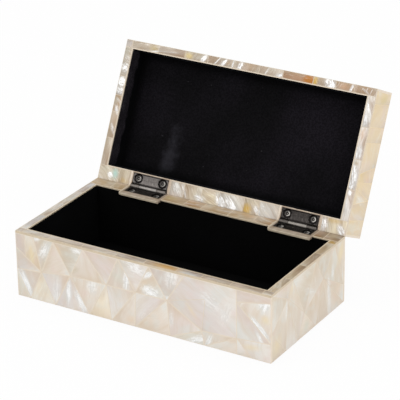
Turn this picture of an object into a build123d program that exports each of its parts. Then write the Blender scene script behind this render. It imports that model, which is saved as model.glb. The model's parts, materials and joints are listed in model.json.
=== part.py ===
import os
from math import cos, inf, radians, sin, tan

from build123d import *

os.makedirs("parts", exist_ok=True)

# The closed box. X runs along its length, Y from front to rear, Z up from the underside.
box_length = 203.0
box_depth = 103.5
base_height = 50.5
lid_height = 25.3
rim_gap = 0.3
opening_angle = 116.0

# Walls: outer face to lining, with the shell on the outside.
rim_width = 6.2
rear_rim_width = 11.0
floor_board_thick = 4.5
top_board_thick = 5.0
felt_thick = 0.6
felt_inset = 2.5

# Shell tiles stand in resin, which shows as the joints between them.
tile_thick = 1.2
resin_under_tile = 0.4
joint_width = 0.35
rim_margin = 0.6  # resin left showing along the rim's inner edge
tile_width = 26.0
tile_height = 25.0
tile_wander = 3.5
row_wander = 2.5
wander_angles = (12.99, 78.23, 3.7)  # odd steps, so that no two corners wander alike
row_offset = 9  # keeps a corner's rise apart from its drift
top_seed = 5

# Velvet
wall_lining_thick = 0.8
floor_pad_thick = 1.2
top_pad_thick = 2.0
lining_drop = 0.8

# Hinges
left_hinge_inset = 44.0
right_hinge_inset = 36.5
hinge_length = 29.4
leaf_depth = 9.6
leaf_thick = 1.0
leaf_sink = 0.1
leaf_fit = 0.15
axis_inset = 0.4
barrel_radius = 1.8
barrel_clearance = 0.35
centre_knuckle = 14.4
knuckle_gap = 0.2
pin_radius = 0.9
pin_clearance = 0.05
pin_bevel = 0.2
stop_gap = 0.2
slope_reach = 2.5  # each way from the axis, well out through the rear face and the rim
hinge_block_length = 34.0
hinge_block_thick = 3.0
hinge_tongue_thick = 1.5  # where the base's blocks stand into the cavity
hinge_tongue_reach = 15.3
hinge_tongue_corner = 2.5

# Screws
screw_spacing = 20.4
screw_from_axis = 6.1
screw_length = 8.0
screw_tip = 2.2
shank_radius = 1.3
head_radius = 2.2
head_sink = 0.7
head_dome = 0.45
countersink_radius = head_radius + head_sink
countersink_angle = 90.0
slot_length = 3.2
slot_width = 0.7
slot_depth = 0.5

# What follows from those sizes
shell_thick = tile_thick + resin_under_tile
half_length = box_length / 2
half_depth = box_depth / 2
lid_rim = base_height + rim_gap
lid_top = lid_rim + lid_height
axis_y = half_depth - axis_inset
axis_z = base_height + rim_gap / 2
hinge_centres = {
    "left": left_hinge_inset - half_length,
    "right": half_length - right_hinge_inset,
}

# Pieces are laid out in the closed box's coordinates. The lid's frame carries them to the open pose.
base_frame = Location((0, 0, 0))
lid_frame = (
    Location((0, axis_y, axis_z))
    * Location((0, 0, 0), (-opening_angle, 0, 0))
    * Location((0, -axis_y, -axis_z))
)


def at(frame, plane):
    return Plane(frame * plane.location)


def slab(frame, x_span, y_span, z_span):
    with BuildPart() as piece:
        with BuildSketch(at(frame, Plane.XY.offset(z_span[0]))):
            with Locations((sum(x_span) / 2, sum(y_span) / 2)):
                Rectangle(x_span[1] - x_span[0], y_span[1] - y_span[0])
        extrude(amount=z_span[1] - z_span[0])
    return piece


def keep(piece, name):
    piece.part.label = name
    export_step(piece.part, f"parts/{name}.step")


# Mosaic layouts. A tile is a list of corners, anticlockwise, seen from outside the face.
def wander(i, j, seed):
    return sin(sum(angle * step for angle, step in zip(wander_angles, (i, j, seed))))


def fill_between(lower, upper):
    """Triangles between two rows of points, both from left to right."""
    tiles = []
    i = j = 0
    while i < len(lower) - 1 or j < len(upper) - 1:
        next_lower = lower[i + 1][0] if i < len(lower) - 1 else inf
        next_upper = upper[j + 1][0] if j < len(upper) - 1 else inf
        if next_lower <= next_upper:
            tiles.append([lower[i], lower[i + 1], upper[j]])
            i += 1
        else:
            tiles.append([lower[i], upper[j + 1], upper[j]])
            j += 1
    return tiles


def mosaic(width, height, seed):
    """Rows of triangles, unevenly laid, with every second row shifted by half a tile."""
    row_count = max(1, round(height / tile_height))
    column_count = max(2, round(width / tile_width))
    pitch = width / column_count
    rows = []
    for j in range(row_count + 1):
        shifted = j % 2 == 1
        steps = [i + 0.5 for i in range(column_count)] if shifted else range(1, column_count)
        inner = 0 < j < row_count
        row = [(0, j * height / row_count)]
        for step in steps:
            drift = row_wander * wander(step, j + row_offset, seed) if inner else 0
            row.append((step * pitch + tile_wander * wander(step, j, seed), row[0][1] + drift))
        row.append((width, row[0][1]))
        rows.append(row)
    tiles = []
    for lower, upper in zip(rows, rows[1:]):
        tiles += fill_between(lower, upper)
    return tiles


# The front and right faces as they were laid by hand, drawn on faces of these sizes.
front_drawing = (203.0, 48.4)
front_points = {
    "a": (0, 48.4), "b": (8, 48.4), "c": (15, 48.4), "d": (31.5, 48.4), "e": (56, 48.4),
    "f": (84.5, 48.4), "g": (109, 48.4), "h": (137, 48.4), "i": (177, 48.4), "j": (203, 48.4),
    "k": (0, 37.5), "l": (8, 31.73), "m": (20.8, 22.5), "n": (45, 25.8), "o": (74.5, 26.2),
    "p": (98, 26.4), "q": (123, 26.7), "r": (153, 34.8), "s": (177, 39), "t": (203, 44),
    "u": (0, 21), "v": (150, 10.5), "w": (177, 12), "x": (203, 14),
    "A": (0, 0), "B": (10.5, 0), "C": (31.5, 0), "D": (59.8, 0), "E": (78, 0), "F": (97, 0),
    "G": (125, 0), "H": (152, 0), "I": (177, 0), "J": (188.5, 0), "K": (203, 0),
}
# Each word names the corners of one tile.
front_words = (
    "klba lmcb mdc mnd ned noe ofe opf pgf pqg qhg qrh hwi stji sxt wxs wJKx IJw "
    "umk uBm ABu BCm Cnm CDn Don DEo Epo EFp Fqp FGq Gvq qvr vwr GHv Hwv HIw"
)
right_drawing = (103.5, 48.4)
right_rows = [
    [(0, 0), (19, 0), (36, 0), (62, 0), (80, 0), (103.5, 0)],
    [(0, 21), (21.5, 38), (46, 17), (73, 31), (103.5, 14)],
    [(0, 48.4), (29, 48.4), (62, 48.4), (90, 48.4), (103.5, 48.4)],
]
# The lid's right face: how far along each joint stands, at the rim and at the top. The last one is the far end.
lid_right_joints = [
    (0, 0), (9.5, 7.5), (26, 24.5), (37.5, 35.5), (60, 53), (66, 64.5),
    (70.5, 77.5), (82, 77.5), (93.5, 92), (103.5, 103.5),
]


def stretch(tiles, drawing, width, height):
    """A drawn layout, stretched to the face that it covers."""
    return [[(x * width / drawing[0], y * height / drawing[1]) for x, y in tile] for tile in tiles]


def slanted_row(joints, height):
    """Tiles side by side, between joints that slant or meet."""
    tiles = []
    for (low, high), (next_low, next_high) in zip(joints, joints[1:]):
        corners = [(low, 0), (next_low, 0), (next_high, height)]
        if next_high > high:
            corners.append((high, height))
        tiles.append(corners)
    return tiles


def strip_row(lengths, run, across, along_y=False):
    """Rim strips end to end. They share the run in proportion to their lengths."""
    tiles = []
    start = run[0]
    for length in lengths:
        end = start + length * (run[1] - run[0]) / sum(lengths)
        if along_y:
            tiles.append([(across[0], start), (across[1], start), (across[1], end), (across[0], end)])
        else:
            tiles.append([(start, across[0]), (end, across[0]), (end, across[1]), (start, across[1])])
        start = end
    return tiles


def inlay(face, outline, tiles, side, cuts, name):
    """A face of shell: the tiles as one group, and the resin that they stand in."""
    with BuildPart() as shell:
        with BuildSketch(face):
            for corners in tiles:
                tile = Polygon(*corners, align=None, mode=Mode.PRIVATE)
                offset(tile, amount=-joint_width / 2, mode=Mode.ADD)
        extrude(amount=side * tile_thick)
        for cut in cuts:
            add(cut.part, mode=Mode.SUBTRACT)
    with BuildPart() as resin:
        with BuildSketch(face):
            add(outline.sketch)
        extrude(amount=side * shell_thick)
        for cut in cuts:
            add(cut.part, mode=Mode.SUBTRACT)
        add(shell.part, mode=Mode.SUBTRACT)
    keep(shell, f"{name}_shell")
    keep(resin, f"{name}_resin")


def panel(frame, origin, x_dir, normal, width, height, tiles, cuts, name):
    """A flat shell face. The origin is its lower left corner, seen from outside."""
    with BuildSketch() as outline:
        Rectangle(width, height, align=(Align.MIN, Align.MIN))
    face = at(frame, Plane(origin=origin, x_dir=x_dir, z_dir=normal))
    inlay(face, outline, tiles, -1, cuts, name)


# Room for the hinges, cut from whatever they are let into. The side is -1 for the base and 1 for the lid.
def rim_level(side):
    return base_height if side < 0 else lid_rim


def leaf_level(side):
    return rim_level(side) + side * leaf_sink


def hinge_room(frame, side, reach, thick):
    """The space of both hinge blocks, up to the rear face."""
    with BuildPart() as room:
        with BuildSketch(at(frame, Plane.XY.offset(rim_level(side)))):
            for centre in hinge_centres.values():
                with Locations((centre, half_depth - reach / 2)):
                    Rectangle(hinge_block_length, reach)
        extrude(amount=side * thick)
    return room


def barrel_room(frame):
    """The grooves that the barrels turn in."""
    with BuildPart() as room:
        for centre in hinge_centres.values():
            start = centre - hinge_length / 2 - barrel_clearance
            with BuildSketch(at(frame, Plane.YZ.offset(start))):
                with Locations((axis_y, axis_z)):
                    Circle(barrel_radius + barrel_clearance)
            extrude(amount=hinge_length + 2 * barrel_clearance)
    return room


def rear_ease(frame, side):
    """The rear edge is planed off at half the opening angle. The two slopes meet and stop the lid."""
    slope = radians(opening_angle / 2)
    along = (cos(slope), side * sin(slope))
    centre_y = axis_y - stop_gap / 2 * sin(slope)
    centre_z = axis_z + side * stop_gap / 2 * cos(slope)
    inner = (centre_y - slope_reach * along[0], centre_z - slope_reach * along[1])
    outer = (centre_y + slope_reach * along[0], centre_z + slope_reach * along[1])
    with BuildPart() as wedge:
        with BuildSketch(at(frame, Plane.YZ.offset(-half_length))):
            with BuildLine():
                Polyline(inner, outer, (outer[0], inner[1]), close=True)
            make_face()
        extrude(amount=box_length)
    return wedge


def screw_places(frame, side, centre):
    """A plane at each screw, on the leaf's face, looking out of it."""
    places = []
    for x in (centre - screw_spacing / 2, centre + screw_spacing / 2):
        origin = (x, axis_y - screw_from_axis, leaf_level(side))
        places.append(at(frame, Plane(origin=origin, x_dir=(1, 0, 0), z_dir=(0, 0, -side))))
    return places


def drill(places):
    """The screw holes, for use inside a part."""
    with Locations(*places):
        CounterSinkHole(shank_radius, countersink_radius, screw_length, countersink_angle)


# Base and lid, made alike: boards, shell faces, rim, linings.
def carcase(frame, side, flat_board, name):
    """The wooden boards. The flat one is the floor or the top, and the walls stand on it."""
    inner_x = half_length - rim_width
    outer_x = half_length - shell_thick
    front_y = (-half_depth + shell_thick, -half_depth + rim_width)
    back_y = (half_depth - rear_rim_width, half_depth - shell_thick)
    wall_rim = rim_level(side) + side * shell_thick
    if side < 0:
        flat_z = (felt_thick, felt_thick + flat_board)
        wall_z = (flat_z[1], wall_rim)
        flat_name = "floor_board"
    else:
        flat_z = (lid_top - shell_thick - flat_board, lid_top - shell_thick)
        wall_z = (wall_rim, flat_z[0])
        flat_name = "top_board"
    keep(slab(frame, (-outer_x, outer_x), (front_y[0], back_y[1]), flat_z), f"{name}_{flat_name}")
    keep(slab(frame, (-outer_x, outer_x), front_y, wall_z), f"{name}_front_board")
    for end, span in {"left": (-outer_x, -inner_x), "right": (inner_x, outer_x)}.items():
        keep(slab(frame, span, (front_y[1], back_y[0]), wall_z), f"{name}_{end}_board")
    with BuildPart() as back:
        add(slab(frame, (-outer_x, outer_x), back_y, wall_z).part)
        add(hinge_room(frame, side, rear_rim_width, hinge_block_thick).part, mode=Mode.SUBTRACT)
        for centre in hinge_centres.values():
            drill(screw_places(frame, side, centre))
    keep(back, f"{name}_back_board")


def linings(frame, side, pad_z, name):
    """Velvet on the four walls, and a pad on the floor or under the top."""
    inner_x = half_length - rim_width
    front_y = -half_depth + rim_width
    back_y = half_depth - rear_rim_width
    rim_z = rim_level(side) + side * lining_drop
    wall_z = (pad_z[1], rim_z) if side < 0 else (rim_z, pad_z[0])
    thick = wall_lining_thick
    keep(slab(frame, (-inner_x, inner_x), (front_y, back_y), pad_z), f"{name}_lining_pad")
    keep(slab(frame, (-inner_x, inner_x), (front_y, front_y + thick), wall_z), f"{name}_front_lining")
    ends = {"left": (-inner_x, -inner_x + thick), "right": (inner_x - thick, inner_x)}
    for end, span in ends.items():
        keep(slab(frame, span, (front_y + thick, back_y - thick), wall_z), f"{name}_{end}_lining")
    with BuildPart() as back:
        add(slab(frame, (-inner_x, inner_x), (back_y - thick, back_y), wall_z).part)
        if side < 0:
            tongues = hinge_room(frame, side, hinge_tongue_reach, hinge_tongue_thick)
            add(tongues.part, mode=Mode.SUBTRACT)
    keep(back, f"{name}_back_lining")


def shell_faces(frame, z_span, layouts, cuts, name):
    """The four upright shell faces, up to the rim's strips. The front and back ones cover the others' ends."""
    height = z_span[1] - z_span[0]
    end_y = half_depth - shell_thick
    places = {
        "front": ((-half_length, -half_depth), (1, 0, 0), (0, -1, 0), box_length),
        "right": ((half_length, -end_y), (0, 1, 0), (1, 0, 0), 2 * end_y),
        "back": ((half_length, half_depth), (-1, 0, 0), (0, 1, 0), box_length),
        "left": ((-half_length, end_y), (0, -1, 0), (-1, 0, 0), 2 * end_y),
    }
    for seed, (face, (corner, x_dir, normal, width)) in enumerate(places.items()):
        drawn = layouts.get(face)
        tiles = stretch(*drawn, width, height) if drawn else mosaic(width, height, seed + height + shell_thick)
        origin = (*corner, z_span[0])
        face_cuts = cuts if face == "back" else []
        panel(frame, origin, x_dir, normal, width, height, tiles, face_cuts, f"{name}_{face}")


def rim(frame, side, strips, cuts, name):
    """Strips of shell over the walls and the faces' edges, with the hinge blocks let in at the rear."""
    inner_x = box_length - rim_width
    inner_y = box_depth - rear_rim_width
    front, left, right, rear_left, rear_middle, rear_right = strips
    blocks = []
    for centre in hinge_centres.values():
        middle = half_length + centre
        blocks.append((middle - hinge_block_length / 2, middle + hinge_block_length / 2))
    rear = (inner_y + rim_margin, box_depth)
    tiles = strip_row(front, (0, box_length), (0, rim_width - rim_margin))
    sides = (rim_width - rim_margin, inner_y + rim_margin)
    tiles += strip_row(left, sides, (0, rim_width - rim_margin), along_y=True)
    tiles += strip_row(right, sides, (inner_x + rim_margin, box_length), along_y=True)
    tiles += strip_row(rear_left, (0, blocks[0][0]), rear)
    tiles += strip_row(rear_middle, (blocks[0][1], blocks[1][0]), rear)
    tiles += strip_row(rear_right, (blocks[1][1], box_length), rear)
    with BuildSketch() as outline:
        Rectangle(box_length, box_depth, align=(Align.MIN, Align.MIN))
        with Locations((rim_width, rim_width)):
            size = (inner_x - rim_width, inner_y - rim_width)
            Rectangle(*size, align=(Align.MIN, Align.MIN), mode=Mode.SUBTRACT)
    corner = (-half_length, -half_depth, rim_level(side))
    face = at(frame, Plane(origin=corner, x_dir=(1, 0, 0), z_dir=(0, 0, 1)))
    inlay(face, outline, tiles, side, cuts, name)


# Hinges
def knuckles(centre):
    """Where each knuckle starts and ends. The outer two are the base leaf's, the centre one the lid leaf's."""
    end = hinge_length / 2
    inner = centre_knuckle / 2
    outer = inner + knuckle_gap
    return {
        -1: [(centre - end, centre - outer), (centre + outer, centre + end)],
        1: [(centre - inner, centre + inner)],
    }


def hinge_block(frame, side, centre, name):
    """The block that a leaf is let into. The base's has a thin tongue that stands into the cavity."""
    face = at(frame, Plane.XY.offset(rim_level(side)))
    with BuildPart() as block:
        with BuildSketch(face):
            with Locations((centre, half_depth - rear_rim_width / 2)):
                Rectangle(hinge_block_length, rear_rim_width)
        extrude(amount=side * hinge_block_thick)
        if side < 0:
            with BuildSketch(face) as tongue:
                with Locations((centre, half_depth - hinge_tongue_reach / 2)):
                    Rectangle(hinge_block_length, hinge_tongue_reach)
                front_left = tongue.vertices().group_by(Axis.Y)[0].sort_by(Axis.X)[0]
                fillet(front_left, radius=hinge_tongue_corner)
            extrude(amount=side * hinge_tongue_thick)
        with BuildSketch(face):
            with Locations((centre, axis_y - (leaf_depth + leaf_fit) / 2)):
                Rectangle(hinge_length + 2 * leaf_fit, leaf_depth + leaf_fit)
        extrude(amount=side * (leaf_sink + leaf_thick), mode=Mode.SUBTRACT)
        add(barrel_room(frame).part, mode=Mode.SUBTRACT)
        add(rear_ease(frame, side).part, mode=Mode.SUBTRACT)
        drill(screw_places(frame, side, centre))
    keep(block, name)


def leaf(frame, side, centre, name):
    """A flat leaf with its own knuckles, cut back round the other leaf's."""
    bore = pin_radius if side < 0 else pin_radius + pin_clearance
    with BuildPart() as plate:
        with BuildSketch(at(frame, Plane.XY.offset(leaf_level(side)))):
            with Locations((centre, axis_y - leaf_depth / 2)):
                Rectangle(hinge_length, leaf_depth)
        extrude(amount=side * leaf_thick)
        for start, end in knuckles(centre)[-side]:
            with BuildSketch(at(frame, Plane.YZ.offset(start - knuckle_gap))):
                with Locations((axis_y, axis_z)):
                    Circle(barrel_radius + barrel_clearance)
            extrude(amount=end - start + 2 * knuckle_gap, mode=Mode.SUBTRACT)
        for start, end in knuckles(centre)[side]:
            with BuildSketch(at(frame, Plane.YZ.offset(start))):
                with Locations((axis_y, axis_z)):
                    Circle(barrel_radius)
            extrude(amount=end - start)
        with BuildSketch(at(frame, Plane.YZ.offset(centre - hinge_length / 2))):
            with Locations((axis_y, axis_z)):
                Circle(bore)
        extrude(amount=hinge_length, mode=Mode.SUBTRACT)
        drill(screw_places(frame, side, centre))
    keep(plate, name)


def pin(centre, name):
    with BuildPart() as rod:
        with BuildSketch(Plane.YZ.offset(centre - hinge_length / 2)):
            with Locations((axis_y, axis_z)):
                Circle(pin_radius)
        extrude(amount=hinge_length)
        chamfer(rod.edges().filter_by(GeomType.CIRCLE), length=pin_bevel)
    keep(rod, name)


def screws(frame, side, centre, name):
    """Countersunk screws with a low dome and a cross slot."""
    cone = (countersink_radius - shank_radius) / tan(radians(countersink_angle / 2))
    crown = head_dome - head_sink
    with BuildPart() as pair:
        for place in screw_places(frame, side, centre):
            with BuildSketch(Plane(origin=place.origin, x_dir=place.x_dir, z_dir=-place.y_dir)):
                with BuildLine():
                    rise = TangentArc((0, crown), (head_radius, -head_sink), tangent=(1, 0))
                    Polyline(
                        rise @ 1,
                        (shank_radius, -cone),
                        (shank_radius, screw_tip - screw_length),
                        (0, -screw_length),
                        rise @ 0,
                    )
                make_face()
            revolve(axis=Axis(place.origin, place.z_dir))
            with BuildSketch(place.offset(crown)):
                Rectangle(slot_length, slot_width)
                Rectangle(slot_width, slot_length)
            extrude(amount=-slot_depth, mode=Mode.SUBTRACT)
    keep(pair, name)


# Base
base_walls = (felt_thick, base_height - shell_thick)
base_blocks = hinge_room(base_frame, -1, rear_rim_width, hinge_block_thick)
base_cuts = [base_blocks, rear_ease(base_frame, -1)]
right_tiles = fill_between(right_rows[0], right_rows[1]) + fill_between(right_rows[1], right_rows[2])
front_tiles = [[front_points[letter] for letter in word] for word in front_words.split()]
drawn_faces = {"front": (front_tiles, front_drawing), "right": (right_tiles, right_drawing)}
base_strips = [
    [5.5, 21.7, 27, 28, 22.8, 25, 19.4, 22.3, 24.3, 7],
    [24, 23, 22, 17],
    [22.1, 21.7, 21.1, 17.5, 5.1],
    [17.2, 9.8],
    [18, 14, 22, 20, 14],
    [8, 11.5],
]
carcase(base_frame, -1, floor_board_thick, "base")
shell_faces(base_frame, base_walls, drawn_faces, base_cuts, "base")
rim(base_frame, -1, base_strips, base_cuts, "base_rim")
floor_top = felt_thick + floor_board_thick
linings(base_frame, -1, (floor_top, floor_top + floor_pad_thick), "base")
felt_x = half_length - felt_inset
felt_y = half_depth - felt_inset
keep(slab(base_frame, (-felt_x, felt_x), (-felt_y, felt_y), (0, felt_thick)), "base_felt")

# Lid
lid_walls = (lid_rim + shell_thick, lid_top)
lid_blocks = hinge_room(lid_frame, 1, rear_rim_width, hinge_block_thick)
lid_cuts = [lid_blocks, rear_ease(lid_frame, 1)]
lid_right_tiles = slanted_row(lid_right_joints, lid_height)
drawn_lid_faces = {"right": (lid_right_tiles, (lid_right_joints[-1][0], lid_height))}
lid_strips = [
    [5.2, 22.4, 22.4, 19, 19.3, 22.7, 19, 24, 17.7, 14.5, 16.8],
    [21, 14, 12, 19, 20],
    [22, 22.6, 21.1, 21.8],
    [17.2, 9.8],
    [11.5, 14.7, 14, 20.5, 12.3, 15.5],
    [4.2, 15.3],
]
carcase(lid_frame, 1, top_board_thick, "lid")
shell_faces(lid_frame, lid_walls, drawn_lid_faces, lid_cuts, "lid")
top_corner = (shell_thick - half_length, shell_thick - half_depth, lid_top)
top_size = (box_length - 2 * shell_thick, box_depth - 2 * shell_thick)
top_tiles = mosaic(*top_size, top_seed)
panel(lid_frame, top_corner, (1, 0, 0), (0, 0, 1), *top_size, top_tiles, [], "lid_top")
rim(lid_frame, 1, lid_strips, lid_cuts, "lid_rim")
pad_top = lid_top - shell_thick - top_board_thick
linings(lid_frame, 1, (pad_top - top_pad_thick, pad_top), "lid")

# Hinges, in their blocks
for hand, centre in hinge_centres.items():
    hinge_block(base_frame, -1, centre, f"base_hinge_block_{hand}")
    hinge_block(lid_frame, 1, centre, f"lid_hinge_block_{hand}")
    leaf(base_frame, -1, centre, f"hinge_base_leaf_{hand}")
    leaf(lid_frame, 1, centre, f"hinge_lid_leaf_{hand}")
    pin(centre, f"hinge_pin_{hand}")
    screws(base_frame, -1, centre, f"base_leaf_screws_{hand}")
    screws(lid_frame, 1, centre, f"lid_leaf_screws_{hand}")
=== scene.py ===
# The looks of a mother-of-pearl box with a hinged lid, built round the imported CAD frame.
import json
import math

import bmesh
import bpy
import numpy as np
from mathutils import Matrix

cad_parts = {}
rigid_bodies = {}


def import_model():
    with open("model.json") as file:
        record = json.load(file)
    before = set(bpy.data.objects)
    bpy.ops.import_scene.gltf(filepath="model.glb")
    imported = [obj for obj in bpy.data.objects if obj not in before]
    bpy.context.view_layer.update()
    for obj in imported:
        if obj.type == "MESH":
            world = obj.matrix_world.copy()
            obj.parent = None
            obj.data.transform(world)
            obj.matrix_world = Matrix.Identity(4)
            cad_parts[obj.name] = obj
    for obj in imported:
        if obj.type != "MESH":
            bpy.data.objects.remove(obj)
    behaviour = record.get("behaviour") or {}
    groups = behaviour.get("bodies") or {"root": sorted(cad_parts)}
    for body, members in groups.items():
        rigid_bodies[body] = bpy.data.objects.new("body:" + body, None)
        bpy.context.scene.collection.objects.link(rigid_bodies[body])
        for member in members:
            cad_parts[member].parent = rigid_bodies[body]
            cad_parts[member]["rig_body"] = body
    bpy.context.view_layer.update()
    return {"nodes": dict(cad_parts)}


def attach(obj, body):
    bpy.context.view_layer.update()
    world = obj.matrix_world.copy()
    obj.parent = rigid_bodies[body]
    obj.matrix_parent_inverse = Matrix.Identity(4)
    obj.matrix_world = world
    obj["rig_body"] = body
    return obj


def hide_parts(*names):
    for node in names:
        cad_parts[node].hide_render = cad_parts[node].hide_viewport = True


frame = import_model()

print("frame loaded:", len(frame["nodes"]), "nodes")

millimetre = 0.001

# The closed box that the pieces are laid out in, as in the CAD. The lid turns about the hinge axis.
layout = {
    "length": 203.0,
    "depth": 103.5,
    "rimWidth": 6.2,
    "rearRimWidth": 11.0,
    "bottom": 0.6,
    "lidRim": 50.8,
    "axisY": 51.35,
    "axisZ": 50.65,
    "openingAngle": 116.0,
    "shellThick": 1.6,
    "hingeCentres": {"left": -57.5, "right": 65.0},
}


def turnedBy(x, y, angle):
    # along = x cos a + y sin a, across = y cos a - x sin a
    return x * math.cos(angle) + y * math.sin(angle), y * math.cos(angle) - x * math.sin(angle)


def swing(points, way):
    # a turn about X through the hinge axis, by the opening angle
    axisY, axisZ = layout["axisY"], layout["axisZ"]
    y, z = turnedBy(points[:, 1] - axisY, points[:, 2] - axisZ, math.radians(way * layout["openingAngle"]))
    return np.column_stack([points[:, 0], y + axisY, z + axisZ])


def toWorld(points, body):
    # closed millimetres to metres at rest
    return (swing(points, 1) if body == "lid" else points) * millimetre


def toClosed(points, body):
    # metres at rest back to closed millimetres
    points = points / millimetre
    return swing(points, -1) if body == "lid" else points


def tone(hexCode):
    # an sRGB colour as linear light: c/12.92 below 0.04045, else ((c + 0.055) / 1.055) ** 2.4
    shares = np.array([int(hexCode[i:i + 2], 16) / 255 for i in (0, 2, 4)])
    linear = np.where(shares < 0.04045, shares / 12.92, ((shares + 0.055) / 1.055) ** 2.4)
    return (*linear, 1.0)


def operator(operation, swapped=False):
    # what a sign between two wires, or a wire and a number, adds to the material: one Math node
    def join(one, other):
        return one.math(operation, *((other, one) if swapped else (one, other)))
    return join


class Wire:
    # one output socket of a material, or its empty tree; + - * / and ** on wires add Math nodes
    def __init__(self, tree, socket=None):
        self.tree, self.socket = tree, socket

    def node(self, kind, settings=None, inputs=None, output=0):
        made = self.tree.nodes.new("ShaderNode" + kind)
        for key, value in (settings or {}).items():
            setattr(made, key, value)
        for key, value in (inputs or {}).items():
            if isinstance(value, Wire):
                self.tree.links.new(value.socket, made.inputs[key])
            else:
                made.inputs[key].default_value = value
        return Wire(self.tree, made.outputs[output] if made.outputs else None)

    def math(self, operation, *values):
        return self.node("Math", {"operation": operation}, dict(enumerate(values)))

    __add__ = __radd__ = operator("ADD")
    __mul__ = __rmul__ = operator("MULTIPLY")
    __sub__, __rsub__ = operator("SUBTRACT"), operator("SUBTRACT", True)
    __truediv__, __pow__ = operator("DIVIDE"), operator("POWER")


def newMaterial(name):
    material = bpy.data.materials.new(name)
    material.use_nodes = True
    material.node_tree.nodes.clear()
    return material, Wire(material.node_tree)


def parts(vector):
    # the three numbers of a vector
    first = vector.node("SeparateXYZ", None, {0: vector})
    return [Wire(vector.tree, socket) for socket in first.socket.node.outputs]


def vectorMath(operation, first, *others, output=0):
    return first.node("VectorMath", {"operation": operation}, dict(enumerate((first, *others))), output)


def stretched(coords, scale):
    # coords * scale, axis by axis
    return vectorMath("MULTIPLY", coords, scale)


def noise(coords, scale, detail=2.0, roughness=0.5, output=0):
    # a scale of three numbers is one for each axis
    if isinstance(scale, tuple):
        coords, scale = stretched(coords, scale), 1.0
    return coords.node("TexNoise", {"noise_dimensions": "3D"}, {
        "Vector": coords, "Scale": scale, "Detail": detail, "Roughness": roughness}, output)


def smooth(value, low, high):
    # 0 below low, 1 above high, smooth between
    settings = {"interpolation_type": "SMOOTHSTEP"}
    return value.node("MapRange", settings, {0: value, 1: low, 2: high, 3: 0.0, 4: 1.0})


def fade(value, low, high):
    # 1 below low, 0 above high
    return 1 - smooth(value, low, high)


def clamped(value):
    return value.node("Clamp", None, {0: value, 1: 0.0, 2: 1.0})


def mix(factor, one, other):
    # colour one where factor is 0, the other where it is 1
    return factor.node("Mix", {"data_type": "RGBA"}, {0: factor, 6: one, 7: other}, 2)


def painted(ground, *coats):
    # coats of paint over a ground, one after another, each as far as its mask goes
    colour = tone(ground) if isinstance(ground, str) else ground
    for mask, paint in coats:
        colour = mix(mask, colour, tone(paint) if isinstance(paint, str) else paint)
    return colour


def warped(coords, amount, scale, detail=1.0):
    # coords pushed about by a slow noise: c + amount * (n(c * scale) - 0.5)
    drift = vectorMath("SUBTRACT", noise(coords, scale, detail, output=1), (0.5, 0.5, 0.5))
    return vectorMath("ADD", coords, stretched(drift, (amount,) * 3))


def bump(height, strength, distance):
    return height.node("Bump", None, {"Strength": strength, "Distance": distance, "Height": height})


def objectPlace(start):
    return start.node("TexCoord", None, None, 3)


def attribute(start, name, output=1):
    # output 0 is a colour, 1 a vector
    return start.node("Attribute", {"attribute_type": "GEOMETRY", "attribute_name": name}, None, output)


def surface(start, sockets):
    # a Principled shader joined to the output
    shader = start.node("BsdfPrincipled", None, sockets)
    start.node("OutputMaterial", None, {"Surface": shader})


def pieceName(node):
    first, *rest = node.split("_")
    return first + "".join(word.capitalize() for word in rest)


def bodyOf(node):
    return frame["nodes"][node]["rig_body"]


def cadCopy(node, flatAngle=None):
    # the node's mesh, its loose triangles welded, and neighbours joined that are flat within an angle
    work = bmesh.new()
    work.from_mesh(frame["nodes"][node].data)
    bmesh.ops.remove_doubles(work, verts=work.verts[:], dist=0.002 * millimetre)
    if flatAngle:
        bmesh.ops.dissolve_limit(
            work, angle_limit=math.radians(flatAngle), verts=work.verts[:], edges=work.edges[:])
    mesh = bpy.data.meshes.new(pieceName(node))
    work.to_mesh(mesh)
    work.free()
    return mesh


def addObject(name, data):
    made = bpy.data.objects.new(name, data)
    bpy.context.scene.collection.objects.link(made)
    return made


def fitPiece(mesh, node, material):
    # a finished piece: it rides on its node's body, and stands for the node
    piece = addObject(mesh.name, mesh)
    mesh.materials.append(material)
    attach(piece, bodyOf(node))
    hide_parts(node)
    return piece


def roundEdges(piece, width, angle):
    # edges sharper than the angle get a small round, its width in millimetres
    bevel = piece.modifiers.new("softArris", "BEVEL")
    bevel.width = width * millimetre
    bevel.segments = 2
    bevel.limit_method = "ANGLE"
    bevel.angle_limit = math.radians(angle)
    bevel.harden_normals = True
    piece.data.shade_smooth()


def pointsOf(mesh):
    points = np.empty(len(mesh.vertices) * 3)
    mesh.vertices.foreach_get("co", points)
    return points.reshape(-1, 3)


def movePoints(mesh, points):
    mesh.vertices.foreach_set("co", points.astype(np.float32).ravel())
    mesh.update()


def closedPoints(mesh, node):
    # the points of a mesh that lies at its node's place, in millimetres of the closed box
    return toClosed(pointsOf(mesh), bodyOf(node))


def store(mesh, name, values):
    # one row for each point: three columns make a vector, four a colour
    kind, field = {3: ("FLOAT_VECTOR", "vector"), 4: ("FLOAT_COLOR", "color")}[values.shape[1]]
    made = mesh.attributes.new(name, kind, "POINT")
    made.data.foreach_set(field, np.ascontiguousarray(values, np.float32).ravel())


def islands(mesh):
    # each vertex takes the lowest number that it is joined to, until nothing changes
    edges = np.empty(len(mesh.edges) * 2, int)
    mesh.edges.foreach_get("vertices", edges)
    edges = edges.reshape(-1, 2)
    label = np.arange(len(mesh.vertices))
    while True:
        low = np.minimum(label[edges[:, 0]], label[edges[:, 1]])
        before = label.copy()
        np.minimum.at(label, edges[:, 0], low)
        np.minimum.at(label, edges[:, 1], low)
        label = label[label]
        if (label == before).all():
            return np.unique(label, return_inverse=True)[1]


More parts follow.
